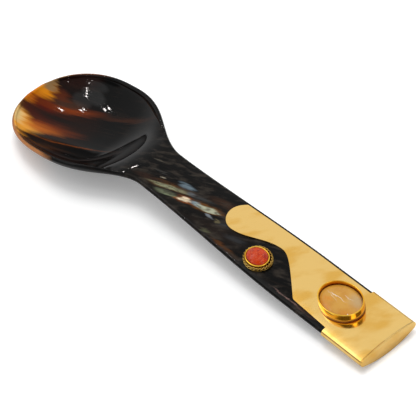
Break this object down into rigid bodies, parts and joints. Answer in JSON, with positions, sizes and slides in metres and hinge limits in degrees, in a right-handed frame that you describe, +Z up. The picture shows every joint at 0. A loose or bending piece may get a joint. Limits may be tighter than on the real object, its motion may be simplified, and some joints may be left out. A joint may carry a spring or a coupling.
{
  "type": "horn serving spoon",
  "caption": "Serving spoon pressed from horn, with a deep oval bowl, a brass cap and wavy tongue on its handle, and set oval stones.",
  "frame": {"origin": "on the table under the middle of the bounding box, with the spoon lying bowl up", "axes": "+X from the cap to the tip of the bowl, +Y towards the side of the small stone, +Z up"},
  "size_m": [0.2478, 0.057, 0.0175],
  "materials": {
    "horn": null,
    "pale_brass": "brushed pale brass sheet with fine scratches",
    "deep_brass": "polished deeper brass, darkened at its foot",
    "amber_stone": "polished pale amber stone with orange patches",
    "red_stone": "polished red-orange stone with paler specks"
  },
  "bodies": {
    "root": {"horn_spoon": "horn", "cap_sleeve": "pale_brass", "end_plate": "pale_brass", "large_bezel": "deep_brass", "large_stone": "amber_stone", "small_base": "deep_brass", "small_bezel": "deep_brass", "twisted_ring": "deep_brass", "small_stone": "red_stone"}
  },
  "joints": []
}
